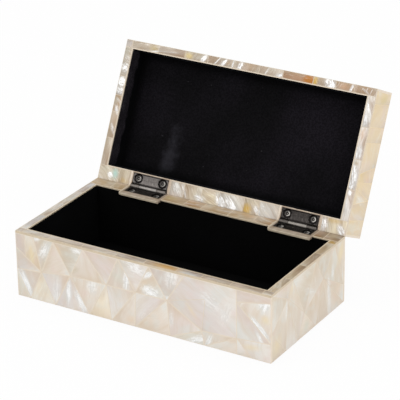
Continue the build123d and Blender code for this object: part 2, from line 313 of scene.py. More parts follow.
# The tones of the shell
shellTones = {
    "cream": "e5d9ca", "rose": "e2d5cc", "lilac": "dfd6d0", "sand": "e1d1be", "straw": "e7d8bc",
    "sage": "dedacd", "pearl": "e9e3db", "pale": "f0e4cd", "smoke": "d9d1c9", "butter": "ead7af",
    "peach": "e6ceb2", "oat": "ddd0bd", "biscuit": "d5c7b3", "fawn": "cbbba4", "tan": "c6aa8c",
    "taupe": "bcac9b", "umber": "ae987d", "mist": "d2ccc6", "rust": "c79a76", "honey": "dcc58d",
    "gold": "cfa955", "amber": "c69b5c", "lichen": "d0ccbd", "ash": "d6ccba", "mauve": "d5c8bd",
    "wheat": "dfcdb2", "bark": "8b785d", "caramel": "ad6c1c", "teal": "abcbc2", "pink": "e0b0a6",
    "olive": "b3a06c",
}

# The tones of tiles in rows: on the front from left to right by their centres, and on each side of a rim from
# left to right, or from front to rear
toneRows = {
    "base_front": {
        "whole": "sage mauve smoke smoke wheat pale ash lilac cream ash lilac cream cream pale lilac pearl sage "
                 "cream pearl lilac oat cream mauve rose sage lilac cream cream pearl rose rose pearl cream",
    },
    "base_rim": {
        "front": "oat biscuit fawn biscuit taupe fawn mist fawn biscuit oat",
        "left": "mist biscuit biscuit mist",
        "right": "biscuit fawn taupe fawn gold",
        # the two bark tiles at the rear's right end are dark as painted shade
        "rear": "fawn fawn fawn tan fawn biscuit tan bark bark",
    },
    "lid_rim": {
        "front": "mist fawn taupe fawn taupe fawn biscuit rust fawn tan tan",
        "left": "lichen mist tan fawn biscuit",
        "right": "pearl pearl mist pearl",
        "rear": "biscuit fawn mist biscuit straw pearl fawn mist mist straw",
    },
}

# How bright each side of a rim is. The base's rear side is browner as painted shade, where the open lid shades it.
rimShades = {
    "base": {
        "front": (0.76, 0.75, 0.76), "left": (0.75, 0.76, 0.78),
        "right": (0.79, 0.75, 0.66), "rear": (0.81, 0.70, 0.53),
    },
    "lid": {
        "front": (0.72, 0.71, 0.73), "left": (0.73, 0.71, 0.71),
        "right": (1.04, 1.06, 1.1), "rear": (0.94, 0.96, 0.95),
    },
}

# Painted highlights, bright places where the shell's layers break and would flash in the light, painted white into
# its colour: x, z on a face or x, y on a rim, then half length, half width, turn in degrees and strength. A tile
# shows two at most.
flashes = {
    "base_front": [
        (24, 40, 7, 3, 62, 0.8), (18, 47.5, 3, 1.6, 20, 0.7), (51, 46, 5, 2, -4, 0.7), (91, 35, 9, 2.2, 84, 1),
        (98, 45, 8, 4, -18, 0.65), (108.5, 42, 4, 1.6, 40, 1.1), (110, 30, 6, 3.6, -8, 1.1),
        (127, 44, 7, 4.6, 70, 0.6), (157, 34, 8, 4.4, -30, 0.45), (169, 28, 8, 3.4, 70, 0.35),
        (198.4, 42.5, 5.6, 3.8, 74, 0.95), (194.5, 24.5, 8, 1.7, -44, 1.4), (195, 15.5, 5, 1.3, -60, 0.8),
        (8, 11, 10, 1.8, -68, 1.2), (4.2, 13, 9, 1.3, -63, 1.2), (33, 10, 9, 2.8, 85, 0.5),
        (43, 13, 8, 1.7, 86, 1.2), (53.4, 6.8, 8, 2.5, -64, 1.35), (62.5, 22, 5.6, 3.6, 80, 0.6),
        (126, 13, 5, 1.8, 85, 0.4), (147, 3.5, 8, 2.2, 24, 0.9), (155, 3, 6, 1.6, 70, 1),
        (106, 12, 8, 3.4, 50, 0.25), (122.5, 28, 4, 1.6, 10, 0.9),
    ],
    "base_right": [
        (79, 18, 12, 2.2, 96, 0.55), (84, 31, 5, 1.8, 100, 0.5), (20, 32, 8, 1.2, 84, 0.5),
        (52, 30, 9, 1.6, 150, 0.3),
    ],
    "lid_right": [(76, 12, 7, 2.4, 70, 0.3)],
    "base_rim": [
        (112, 98.5, 7, 1, 8, 0.25), (83, 97, 6, 1, 5, 0.3), (12, 3.4, 5, 0.7, 5, 0.25), (157, 3, 6, 0.7, 4, 0.3),
    ],
    "lid_rim": [
        (65.5, 3.4, 4.2, 1.9, 122, 1.1), (76.5, 3, 4, 0.55, 128, 0.9), (82, 3.6, 4.5, 1.3, 124, 1.1),
        (89.4, 3.4, 4, 0.6, 94, 1.2), (95.5, 3.4, 5, 1.9, 112, 1), (117, 3.4, 4, 0.7, 118, 0.6),
        (127.4, 4.4, 3.4, 1.4, 158, 1.3), (167.5, 3.4, 5.4, 3.6, 56, 2), (184, 3.2, 3.6, 1.1, 108, 1),
        (195, 3.4, 4, 0.8, 30, 0.4), (24, 5, 6, 0.6, 170, 0.7), (36, 3.4, 10, 0.4, 176, 0.3),
        (199.4, 14, 5, 0.9, 72, 1), (199.3, 22.5, 5, 1.7, 78, 1.3), (199.4, 45.5, 4.6, 2.4, 85, 1.5),
        (199.4, 60, 6.5, 2.2, 76, 1.4), (199.4, 67.5, 4, 2.2, 96, 1.4), (199.5, 73.6, 2.4, 1.6, 80, 1.1),
        (199.4, 84, 7, 0.5, 82, 0.5), (3.2, 20.5, 4, 3.6, 14, 0.8), (3.4, 14, 3.6, 2.4, 20, 0.3),
        (3, 31, 4, 3.8, 10, 1.1), (3, 37.5, 3.6, 2.8, 16, 0.9), (3.6, 52, 4, 1.6, 64, 0.7),
        (3.6, 66, 5, 1.4, 60, 0.5), (3.6, 45, 3, 1, 40, 0.4), (10, 99, 2.6, 2.2, 40, 1.1),
        (66, 97.6, 5, 3, 62, 0.5), (73, 99, 5, 1.2, 60, 0.6), (86, 101, 4, 2, 20, 1.4),
        (103.5, 100, 6, 3.4, 52, 1.9), (112, 100.6, 7, 3.2, 46, 2), (118, 98, 5, 1.4, 60, 0.7),
        (133, 100, 4, 2, 40, 0.9), (137, 97, 4, 1.6, 50, 0.5), (186, 98, 4.5, 3, 70, 0.9),
        (199, 100, 4, 2.4, 50, 1.5),
    ],
}

# Stains and tinted places, with their tones
stains = {
    "base_front": [
        (94.5, 4.5, 5, 4, 20, 0.5, "peach"), (199, 31, 4, 4, 0, 0.6, "butter"), (36, 43, 6, 2, -60, 0.5, "peach"),
        (105, 34, 6, 2.5, 60, 0.5, "peach"), (13, 34, 9, 2.4, 96, 0.7, "butter"),
        (48, 31, 6, 3, 20, 0.3, "olive"), (188, 8, 9, 3, 10, 0.5, "butter"), (142, 24, 7, 2, -50, 0.4, "butter"),
    ],
    "base_right": [
        (96, 40, 10, 5, 70, 0.75, "butter"), (6, 9, 9, 7, 60, 0.55, "butter"), (10, 37, 12, 7, 90, 0.35, "mist"),
        (92, 14, 9, 5, 60, 0.4, "peach"), (26, 44, 6, 3, 90, 0.4, "butter"), (47, 6, 5, 4, 60, 0.2, "teal"),
    ],
    "lid_right": [
        (5, 15, 9, 4.5, 112, 0.95, "honey"), (78, 12, 9, 3.6, 105, 0.9, "pale"), (24, 12, 8, 5, 80, 0.3, "peach"),
        (50, 8, 12, 6, 60, 0.3, "peach"), (87, 14, 8, 4, 80, 0.4, "rose"), (62, 18, 6, 4, 90, 0.25, "pink"),
    ],
    "base_rim": [
        (122, 3.4, 14, 7, 0, 1, "amber"), (42, 3.2, 7, 2, 0, 0.7, "taupe"), (166, 3.6, 8, 3, 0, 0.5, "taupe"),
        (66, 98, 6, 3, 0, 0.6, "olive"), (104, 100, 7, 2.5, 0, 0.6, "umber"), (130, 99.5, 7, 2, 0, 0.5, "rust"),
        (196, 99, 5, 4, 0, 0.8, "umber"), (199.4, 53, 5, 2, 90, 0.7, "umber"), (20, 98, 6, 4, 0, 0.6, "umber"),
    ],
    "lid_rim": [
        (23.5, 3, 4.5, 3, 0, 0.7, "olive"), (53, 3.4, 4, 3, 0, 1, "honey"), (151, 3.8, 6, 5, 0, 1.5, "caramel"),
        (155.4, 3.4, 2.4, 5, 0, 1.1, "gold"), (85.5, 2.8, 3.4, 2, 30, 0.8, "umber"),
        (105, 2.8, 5, 2, 20, 0.6, "umber"), (178, 3.2, 5, 3, 0, 0.5, "rust"),
        (13.8, 97.4, 4.8, 3.6, 80, 1, "teal"), (22, 101, 5, 2.4, 10, 0.35, "gold"),
        (124.6, 100.5, 4.4, 4, 70, 1.2, "gold"), (192, 94.6, 6, 2.4, 0, 0.5, "gold"),
        (199.4, 53, 2.6, 2, 0, 0.8, "umber"), (199.4, 32, 5, 2, 90, 0.5, "rust"),
    ],
}

# Tones to draw from, painted sheen without marks, brightness, how pale the tiles are along the joints, and how
# much a tile's tone changes across it. Where marks run on, a mark also shows on the neighbouring tiles that it
# reaches.
nacreDefaults = {
    "tones": "cream cream rose lilac sand sage pearl straw cream smoke", "lustre": 0.5, "shade": (1.0, 1.0, 1.0),
    "joint": 0.4, "sweep": 1.0, "runsOn": False,
}
nacreChoices = {
    "base_right": {"tones": "cream sand cream oat cream sand", "lustre": 0.3, "shade": (0.95, 0.925, 0.89),
                   "joint": 0.25, "runsOn": True},
    "lid_right": {"tones": "straw straw butter straw", "lustre": 0.10, "shade": (0.98, 0.897, 0.775), "joint": 0.0,
                  "sweep": 0.25, "runsOn": True},
    "base_front": {"lustre": 0.35, "shade": (0.98, 0.97, 0.99), "joint": 0.36},
    "base_rim": {"joint": 0.1, "runsOn": True},
    "lid_rim": {"lustre": 0.9, "joint": 0.12, "runsOn": True},
}

# Painted highlights by chance on the tiles of the other faces: how many tiles have one, how far from the middle it
# lies and how large it is, as shares of the tile, and how strong it is
chanceMarks = {
    "share": 0.55, "spread": 0.4, "halfLength": (0.12, 0.48), "halfWidth": (0.04, 0.14), "strength": (0.3, 1.1),
}
# Each tile's own start in the noise in millimetres, the turn of a rim strip's grain in radians, and brightness
tileChances = {"grainStart": (97.0, 83.0, 71.0), "rimTurn": (-0.25, 0.25), "brightness": (0.96, 1.04)}
# A tile's triangles join within an angle, in degrees. The round on its edges, in millimetres, is on those
# sharper than an angle, and so many of its longest edges get a pale joint.
tileShape = {"flatWithin": 1.0, "round": 0.07, "sharperThan": 35.0, "edgesKept": 6}
runOnShare = 0.8  # the share of a mark's half length that counts as its reach
noEdge = 99.0  # millimetres, further inside than any point of a tile is from a real edge


def facePlace(node, points):
    # closed millimetres to a face's own two axes, seen from outside, from its lower left corner
    part, face = node.split("_")[:2]
    x, y, z = points.T
    side = layout["depth"] / 2 - layout["shellThick"]
    up = z - (layout["bottom"] if part == "base" else layout["lidRim"])
    places = {
        "front": (x + layout["length"] / 2, up, y),
        "back": (layout["length"] / 2 - x, up, y),
        "left": (side - y, up, x),
        "right": (y + side, up, x),
    }
    return np.stack(places.get(face, (x + layout["length"] / 2, y + layout["depth"] / 2, z)), axis=1)


def spotPlace(flat, spot):
    # the face's axes from the spot's centre, turned along it, in units of its half length and half width
    along, across = turnedBy(flat[:, 0] - spot[0], flat[:, 1] - spot[1], math.radians(spot[4]))
    return np.stack([along / spot[2], across / spot[3], np.full(len(flat), spot[5])], axis=1)


def hull(points):
    # the outermost points, anticlockwise, from two sorted sweeps
    points = points[np.lexsort((points[:, 1], points[:, 0]))]

    def half(run):
        chain = []
        for point in run:
            while len(chain) > 1 and np.linalg.det([chain[-1] - chain[-2], point - chain[-2]]) <= 0:
                chain.pop()
            chain.append(point)
        return chain[:-1]
    return np.array(half(points) + half(points[::-1]))


def hullArea(points):
    # half the sum of x y' - y x' round the outline
    x, y = hull(points).T
    return abs(np.dot(x, np.roll(y, -1)) - np.dot(y, np.roll(x, -1))) / 2


def edgeDistances(flat, outline):
    # how far each point is inside the tile's longest edges, in millimetres, longest first
    corners = hull(outline)
    runs = np.roll(corners, -1, axis=0) - corners
    lengths = np.hypot(*runs.T)
    distances = np.full((len(flat), tileShape["edgesKept"]), noEdge)
    for place, index in enumerate(np.argsort(-lengths)[:tileShape["edgesKept"]]):
        away = flat[:, :2] - corners[index]
        run = runs[index] / lengths[index]
        distances[:, place] = run[0] * away[:, 1] - run[1] * away[:, 0]
    return distances


def tileUnder(tiles, spot):
    # the tile that a spot is on: its outline grows least by adding the spot
    return min(tiles, key=lambda tile: hullArea(np.vstack([tile["outline"], spot[:2]])) - tile["area"])


def reaches(spot, tile):
    # whether most of a spot's half length passes the tile's own box
    gap = np.maximum(np.abs(tile["middle"] - spot[:2]) - tile["size"] / 2, 0.0)
    return np.hypot(*gap) < spot[2] * runOnShare


def layMarks(kind, tiles, runsOn):
    # each flash and stain lies on the tile under it. Where marks run on, so do the neighbours that it reaches.
    for spot in flashes.get(kind, []):
        own = tileUnder(tiles, spot)
        for tile in tiles:
            if tile is own or runsOn and reaches(spot, tile):
                tile["marks"].append(spot)
    for spot in stains.get(kind, []):
        own = tileUnder(tiles, spot)
        for tile in tiles:
            if tile is own or runsOn and not tile["stain"] and reaches(spot, tile):
                tile["stain"] = spot


def rimSide(centre):
    # which side of the rim a tile's centre is on, and how far along it
    x, y = centre
    if y < layout["rimWidth"]:
        return "front", x
    if y > layout["depth"] - layout["rearRimWidth"]:
        return "rear", x
    return ("left" if x < layout["length"] / 2 else "right"), y


def toneNames(kind, tiles, choices, random):
    # in order where the tones stand in rows, and by chance elsewhere
    if kind not in toneRows:
        return [choices[int(draw * len(choices))] for draw in random.uniform(0, 1, len(tiles))]
    places = [rimSide(tile["middle"]) if kind.endswith("rim") else ("whole", tile["centre"][0]) for tile in tiles]
    names = [""] * len(tiles)
    for side, row in toneRows[kind].items():
        found = sorted((along, index) for index, (where, along) in enumerate(places) if where == side)
        for (along, index), name in zip(found, row.split(), strict=True):
            names[index] = name
    return names


def tilesOf(mesh, flat):
    tiles = []
    label = islands(mesh)
    for index in range(label.max() + 1):
        mine = label == index
        low, high = flat[mine].min(axis=0)[:2], flat[mine].max(axis=0)[:2]
        outline = np.unique(np.round(flat[mine][:, :2], 2), axis=0)
        tiles.append({"mine": mine, "middle": (low + high) / 2, "size": high - low, "outline": outline,
                      "centre": outline.mean(axis=0), "area": hullArea(outline), "marks": [], "stain": None})
    return tiles


def between(limits, share):
    return limits[0] + (limits[1] - limits[0]) * share


def chanceMark(tile, turn, draws):
    # a mark near the tile's middle, its sizes between their limits
    x, y = tile["centre"] + tile["size"] * chanceMarks["spread"] * (draws[2:4] - 0.5)
    small = min(tile["size"])
    return (x, y, small * between(chanceMarks["halfLength"], draws[4] ** 2),
            small * between(chanceMarks["halfWidth"], draws[5]), math.degrees(turn),
            between(chanceMarks["strength"], draws[6]))


def shellPiece(node, material):
    # The CAD tiles, each with its own grain, tone, lustre and marks. All of these run evenly across a tile,
    # so they are kept on its corners and worked out between them by the shader.
    mesh = cadCopy(node, tileShape["flatWithin"])
    flat = facePlace(node, closedPoints(mesh, node))
    kind = node.removesuffix("_shell")
    part = kind.split("_")[0]
    isRim = kind.endswith("rim")
    settings = {**nacreDefaults, **nacreChoices.get(kind, {})}
    random = np.random.default_rng(sum(map(ord, node)))
    tiles = tilesOf(mesh, flat)
    layMarks(kind, tiles, settings["runsOn"])
    names = toneNames(kind, tiles, settings["tones"].split(), random)
    layerNames = ("grain", "mood", "flashOne", "flashTwo", "stain", "edgeOne", "edgeTwo")
    layers = {name: np.zeros((len(flat), 3)) for name in layerNames}
    layers.update({name: np.ones((len(flat), 4)) for name in ("shellTone", "stainTone")})
    for tile, name in zip(tiles, names):
        draws = random.uniform(0, 1, 12)
        mine, size = tile["mine"], tile["size"]
        turn = math.pi * draws[0]
        if isRim:
            turn = (0.0 if size[0] > size[1] else math.pi / 2) + between(tileChances["rimTurn"], draws[0])
        # a painted highlight by chance, on a tile that has none
        if not tile["marks"] and kind not in flashes and draws[1] < chanceMarks["share"]:
            tile["marks"].append(chanceMark(tile, turn, draws))
        if tile["marks"]:
            turn = math.radians(tile["marks"][0][4])
        x, y, z = (flat[mine] - [*tile["middle"], 0]).T
        # the grain runs along the marks, and starts elsewhere in the noise on each tile
        grain = np.column_stack([*turnedBy(x, y, turn), z])
        layers["grain"][mine] = grain + tileChances["grainStart"] * draws[7:10]
        sweep = turnedBy(x, y, 2 * math.pi * draws[10])[0] * 2 / max(size) * settings["sweep"]
        layers["mood"][mine, 0] = settings["lustre"] * draws[11]
        layers["mood"][mine, 1] = sweep
        layers["mood"][mine, 2] = settings["joint"]
        # the painted highlights over this tile
        for layer, spot in zip(("flashOne", "flashTwo"), tile["marks"]):
            layers[layer][mine] = spotPlace(flat[mine], spot)
        away = edgeDistances(flat[mine], tile["outline"])
        layers["edgeOne"][mine], layers["edgeTwo"][mine] = away[:, :3], away[:, 3:]
        # a rim's side takes its brightness, the base's rear darker as painted shade
        shade = np.array(rimShades[part][rimSide(tile["middle"])[0]] if isRim else (1.0, 1.0, 1.0))
        shade = shade * settings["shade"] * between(tileChances["brightness"], draws[5])
        layers["shellTone"][mine] = np.array(tone(shellTones[name])) * (*shade, 1.0)
        if tile["stain"]:
            layers["stain"][mine] = spotPlace(flat[mine], tile["stain"])
            layers["stainTone"][mine] = tone(shellTones[tile["stain"][6]])
    for name, values in layers.items():
        store(mesh, name, values)
    piece = fitPiece(mesh, node, material)
    roundEdges(piece, tileShape["round"], tileShape["sharperThan"])


# The shell's paints. The sheen tone and the white of the flashes are painted sheen and painted highlights, and
# glow is how strong the painted sheen is.
nacreLooks = {
    "shell": {
        "bands": 0.26, "lines": 0.14, "sweep": 0.65, "ripple": (0.13, 0.60, 0.1), "torn": (0.55, 1.3),
        "tint": 0.35, "roughness": 0.30, "streaks": 1.7, "core": (0.1, 1.35), "glow": 0.62,
        "crest": (0.42, 0.58), "slits": 0.38,
        "warm": "d4bea4", "pale": "ebe6de", "pink": "e4cdc5", "cool": "dadedb", "edge": "f1e6d5",
        "haze": "f0f0ee", "slit": "b0aeac",
    },
    "rimShell": {
        "bands": 0.60, "lines": 0.42, "sweep": 0.40, "ripple": (0.16, 1.15, 0.1), "torn": (0.9, 1.0),
        "tint": 0.35, "roughness": 0.28, "streaks": 2.2, "core": (0.35, 1.1), "glow": 0.5,
        "crest": (0.44, 0.55), "slits": 0.5,
        "warm": "97795c", "pale": "e2d8ca", "pink": "d4b8a6", "cool": "c2c6bd", "edge": "dccdb6",
        "haze": "dfddda", "slit": "8f857b",
    },
}


def flatDistance(place):
    # how far a place is from its mark's centre, in units of the mark's own size
    return vectorMath("LENGTH", stretched(place, (1.0, 1.0, 0.0)), output=1)


def nacre(name):
    # Tone, tinted by slow clouds and growth bands and paler at the joints. A flash is a painted highlight: a
    # painted sheen with wavy crests of painted white in its middle and grey slits between them. Faint white
    # ripples over every tile are painted glints.
    look = nacreLooks[name]
    material, start = newMaterial(name)
    grain = attribute(start, "grain")
    lustre, sweep, paleness = parts(attribute(start, "mood"))
    edges = parts(attribute(start, "edgeOne")) + parts(attribute(start, "edgeTwo"))
    flow = warped(grain, 7.0, 0.07)
    bands = noise(flow, (0.035, 0.20, 0.1), 2.0, 0.55)
    lines = noise(flow, (0.05, 1.7, 0.1), 3.0, 0.6)
    ripple = noise(warped(grain, 2.6, 0.20, 2.0), look["ripple"], 2.0, 0.55)
    hue = noise(grain, 0.07, 2.0)
    torn = (noise(grain, look["torn"][0], 3.0, 0.6) - 0.5) * look["torn"][1]
    nearest = edges[0]
    for edge in edges[1:]:
        nearest = nearest.math("MINIMUM", nearest, edge)
    joint = fade(nearest + torn * 0.25, 0.1, 0.7) * paleness * (bands * 1.2 + 0.4)
    rim = fade(edges[0] + torn * 1.2, 0.3, 4.5) * 0.35
    # painted glints: faint white ripples on every tile, as strong as its lustre
    core, haze, slits = lustre * smooth(ripple, 0.56, 0.74) * 0.5, 0.0, 0.0
    for layer in ("flashOne", "flashTwo"):
        place = attribute(start, layer)
        away, strength = flatDistance(place) + torn, parts(place)[2]
        wavy = noise(warped(place, 0.7, 1.3), (0.55, look["streaks"], 5.0), 2.0, 0.65)
        crest = smooth(wavy, *look["crest"])
        near = fade(away, 0.3, look["core"][1] + 0.5) * strength
        core = core + fade(away, *look["core"]) * strength * (crest * 0.85 + 0.15)
        haze = haze + near
        slits = slits + near * (1 - crest)
    core, haze, slits = clamped(core), clamped(haze), clamped(slits)
    stainPlace = attribute(start, "stain")
    stain = clamped(fade(flatDistance(stainPlace) + torn * 0.5, 0.0, 1.3) * parts(stainPlace)[2])
    colour = painted(
        attribute(start, "shellTone", 0),
        (smooth(sweep, 0.0, 1.0) * look["sweep"], look["pale"]),
        (fade(sweep, -1.0, 0.0) * look["sweep"] * 0.7, look["warm"]),
        (smooth(hue, 0.52, 0.70) * look["tint"], look["pink"]),
        (fade(hue, 0.32, 0.46) * look["tint"], look["cool"]),
        (smooth(bands, 0.46, 0.70) * look["bands"], look["warm"]),
        (fade(bands, 0.30, 0.46) * look["bands"], look["pale"]),
        (smooth(lines, 0.48, 0.68) * look["lines"], look["warm"]),
        (rim * smooth(hue, 0.40, 0.60), look["warm"]),
        (stain, attribute(start, "stainTone", 0)),
        (clamped(joint), look["edge"]),
        # painted sheen, grey slits and painted white of the flashes
        (haze * look["glow"], look["haze"]),
        (slits * look["slits"], look["slit"]),
        (core, "ffffff"))
    roughness = look["roughness"] + lines * 0.12 - core * 0.12
    height = bands + ripple * 0.5 + lines * 0.2
    surface(start, {"Base Color": colour, "Roughness": roughness, "Metallic": core * 0.2 + 0.06,
                    "Normal": bump(height, 0.2, 0.0004), "Coat Weight": 0.3, "Coat Roughness": 0.12,
                    "Thin Film Thickness": 420.0, "Thin Film IOR": 1.45})
    return material


# Each by the end of its nodes' names: main colour, cloud and specks
resinLooks = {
    "base_right_resin": ("e0d1bd", "d3c1aa", "ad987c"),
    "base_rim_resin": ("d9cab1", "bfab8d", "9b8464"),
    "lid_rim_resin": ("e0d2be", "cdbca4", "a48e72"),
    "lid_right_resin": ("f3dfba", "ead3ac", "cdb48c"),
    "_resin": ("eaddcc", "dbcab3", "b59f80"),
}


def resinFinish(name, main, second, dark):
    # filler: a slow cloud, darker specks and fine pits
    material, start = newMaterial(name)
    coords = objectPlace(start)
    cloud = noise(coords, 180.0, 3.0)
    speck = smooth(noise(coords, 2600.0, 1.0), 0.66, 0.74)
    colour = painted(main, (cloud * 0.8, second), (speck * 0.35, dark))
    surface(start, {"Base Color": colour, "Roughness": 0.38 + cloud * 0.15,
                    "Normal": bump(cloud - speck * 0.3, 0.2, 0.0002), "Coat Weight": 0.2, "Coat Roughness": 0.15})
    return material


def woodFinish():
    # plain pale board: rings stretched along X, with fine pores
    material, start = newMaterial("boardWood")
    coords = objectPlace(start)
    rings = start.node("TexWave", {"wave_type": "BANDS", "bands_direction": "Y"}, {
        "Vector": stretched(warped(coords, 0.01, 14.0), (0.12, 1.0, 1.0)), "Scale": 90.0, "Distortion": 6.0}, 1)
    pores = noise(coords, (90.0, 2200.0, 2200.0), 3.0)
    colour = painted("c9a877", (rings, "a98554"), (smooth(pores, 0.55, 0.7) * 0.5, "7c5c36"))
    surface(start, {"Base Color": colour, "Roughness": 0.62 + pores * 0.2,
                    "Normal": bump(pores - rings * 0.3, 0.3, 0.0003)})
    return material


shellFinishes = {"shell": nacre("shell"), "rim_shell": nacre("rimShell")}
shellNodes = [node for node in frame["nodes"] if node.endswith("_shell")]
for node in shellNodes:
    shellPiece(node, shellFinishes["rim_shell" if node.endswith("rim_shell") else "shell"])
print("shell faces dressed:", len(shellNodes))

# The nodes whose shape is right as it is
keptFinishes = {ending: resinFinish(pieceName(ending.strip("_")), *look) for ending, look in resinLooks.items()}
keptFinishes["_board"] = woodFinish()
for node, piece in frame["nodes"].items():
    finishes = [finish for ending, finish in keptFinishes.items() if node.endswith(ending)]
    if finishes:
        piece.data.materials.clear()
        piece.data.materials.append(finishes[0])
print("resin and boards finished")


def hingePlace(node, points):
    # closed millimetres from the middle of the node's own hinge: along the axis, out from it over the rim, and up
    centre = layout["hingeCentres"][node.rsplit("_", 1)[1]]
    return points * (1, -1, 1) + (-centre, layout["axisY"], -layout["axisZ"])


screwPlace = {"fromMiddle": 10.2, "fromAxis": 6.1}


def fromScrew(start):
    # how far right and up of the nearer screw's middle, seen with the lid open, and sqrt(right^2 + up^2)
    along, out = parts(attribute(start, "hingePlace"))[:2]
    right = along - along.math("SIGN", along) * screwPlace["fromMiddle"]
    up = out - screwPlace["fromAxis"]
    return right, up, (right ** 2.0 + up ** 2.0) ** 0.5


# The base's leaves: the same metal in a darker copy, as painted shade
baseLeafShadedLook = {
    "dark": "120f0e", "light": "2a2522", "worn": "a59d96", "grime": 0.95, "barrel": 0.3, "rolled": "120f0e",
    "metal": 0.93,
}
# Each leaf: patina dark and light, a pale tone for its brushing and its painted highlight, how strong the dirt and
# painted shade round the screws is, how strong the painted highlight on the knuckles is, the knuckles' painted
# shade, and how metallic it is
leafLooks = {
    "lidLeafLeft": {
        "dark": "4f4a48", "light": "8a8480", "worn": "cfc9c3", "grime": 0.98, "barrel": 0.5, "rolled": "1d1918",
        "metal": 0.76,
    },
    "lidLeafRight": {
        "dark": "262221", "light": "4b4643", "worn": "aaa49d", "grime": 0.8, "barrel": 0.7, "rolled": "2b2624",
        "metal": 0.8,
    },
    "baseLeafLeft": {**baseLeafShadedLook, "dark": "110e0d", "light": "2a2421", "barrel": 0.5},
    "baseLeafRight": baseLeafShadedLook,
}
# Where each mark on a leaf begins and is full, in millimetres: from a screw's middle, from the leaf's middle and
# from the axis. Round the screws come dirt and painted shade, then wear. Painted shade runs along the ends, tip
# and fold. The knuckles' radius bounds their painted shade and highlight.
leafWearAndLight = {
    "grimeOut": (4.0, 3.5), "grimeIn": (2.2, 2.6), "rubbedIn": (3.3, 3.5), "rubbedOut": (3.9, 3.6),
    "ends": (13.7, 14.5), "tip": (8.6, 9.3), "fold": (3.1, 2.2), "barrel": (2.2, 2.0),
}


def leafFinish(name):
    # patina by cloud and by brushing across the leaf; dirt and painted shade round the screws, painted shade along
    # the leaf's ends, tip and the fold by the knuckles; on the knuckles painted shade with a painted highlight on
    # their upper front, less rough there; bare metal worn round the screws
    look, wearAndLight = leafLooks[name], leafWearAndLight
    material, start = newMaterial(name)
    place = attribute(start, "hingePlace")
    along, out = parts(place)[:2]
    away = fromScrew(start)[2]
    brushed = noise(place, (5.0, 0.35, 1.0), 3.0, 0.6)
    cloud = noise(place, 0.35, 3.0, 0.6)
    torn = noise(place, 1.3, 2.0) - 0.5
    # dirt and painted shade round each screw's countersink
    ring = smooth(away + torn * 0.4, *wearAndLight["grimeOut"]) * smooth(away, *wearAndLight["grimeIn"])
    ragged = away + torn * 0.3
    wornRing = smooth(ragged, *wearAndLight["rubbedIn"]) * smooth(ragged, *wearAndLight["rubbedOut"]) * smooth(torn, -0.1, 0.2)
    fromMiddle = along.math("ABSOLUTE", along)
    # painted shade along the leaf's ends and tip, where it sits in its recess, and along the fold by the knuckles
    edge = smooth(fromMiddle + torn * 0.8, *wearAndLight["ends"]) + smooth(out + torn * 0.8, *wearAndLight["tip"])
    border = edge * 0.7 + smooth(out + torn * 0.5, *wearAndLight["fold"]) * 0.75
    # on the knuckles: painted shade, and a painted highlight on their upper front
    turnY, turnZ = parts(attribute(start, "barrelPlace"))[1:]
    radius = (turnY ** 2.0 + turnZ ** 2.0) ** 0.5
    facing = (turnZ * 0.60 - turnY * 0.80) / radius
    barrel = smooth(radius, *wearAndLight["barrel"])
    paintedBarrelHighlight = smooth(facing + torn * 0.3 + (brushed - 0.5) * 0.5, 0.66, 1.0) * barrel * look["barrel"]
    colour = painted(
        look["dark"],
        (clamped(cloud * 0.9 + brushed * 0.9 - 0.4), look["light"]),
        (smooth(brushed, 0.56, 0.74) * 0.5, look["worn"]),
        (clamped(border), "0d0b0a"),
        (ring * look["grime"], "0b0a0a"),
        (wornRing * 0.5, "8a847f"),
        (barrel, look["rolled"]),
        (clamped(paintedBarrelHighlight), look["worn"]))
    dull = clamped(ring * look["grime"] + border)
    surface(start, {"Base Color": colour, "Metallic": look["metal"] + dull * (1.0 - look["metal"]),
                    "Roughness": 0.36 + cloud * 0.22 + ring * 0.2 - paintedBarrelHighlight * 0.12,
                    "Normal": bump(brushed * 0.6 + cloud * 0.5 - wornRing * 0.3, 0.35, 0.0002)})
    return material


# The radii of the painted highlight ring, its colour, and the colour of the painted glints in the middle
screwLooks = {
    "screwLeft": {"inner": 1.2, "outer": 2.0, "bright": "d2cdc6", "centre": "b7b2ac"},
    "screwRight": {"inner": 1.1, "outer": 2.0, "bright": "e6e1da", "centre": "a19b95"},
}


def screwFinish(name):
    # a dark domed head, left dark round the rim, with a painted highlight: a bright turned ring on its right and
    # lower side, and pale painted glints in the middle by the cross slot
    look = screwLooks[name]
    material, start = newMaterial(name)
    place = attribute(start, "hingePlace")
    right, up, away = fromScrew(start)
    torn = noise(place, 1.6, 3.0, 0.6) - 0.5
    turned = noise(away.node("CombineXYZ", None, {0: away}), (6.0, 1.0, 1.0))
    rough = away + torn * 0.9
    ring = smooth(rough, look["inner"], look["inner"] + 0.25) * smooth(rough, look["outer"], look["outer"] - 0.3)
    # the painted highlight falls on the right and lower side
    side = smooth(right * 0.85 - up * 0.5 + torn * 1.5, -1.2, 1.5)
    bright = ring * (side * 0.85 + 0.15)
    centre = smooth(away + torn * 0.8, 0.85, 0.3) * 0.7
    colour = painted("0a0908", (turned, "24201e"), (clamped(bright), look["bright"]),
                     (clamped(centre * (0.6 + torn * 2.5)), look["centre"]))
    surface(start, {"Base Color": colour, "Metallic": 0.95 - bright * 0.4,
                    "Roughness": 0.34 + turned * 0.2 - bright * 0.08, "Normal": bump(turned + torn, 0.3, 0.0002)})
    return material


# The lid's block and the base's are one bone: the base's copy is darker as painted shade
boneLooks = {
    "lidBone": {"main": "e6d5c0", "second": "d3bba2", "lip": "efe3d2"},
    "baseBone": {"main": "a99b8b", "second": "907e68", "lip": "ccbea6"},
}


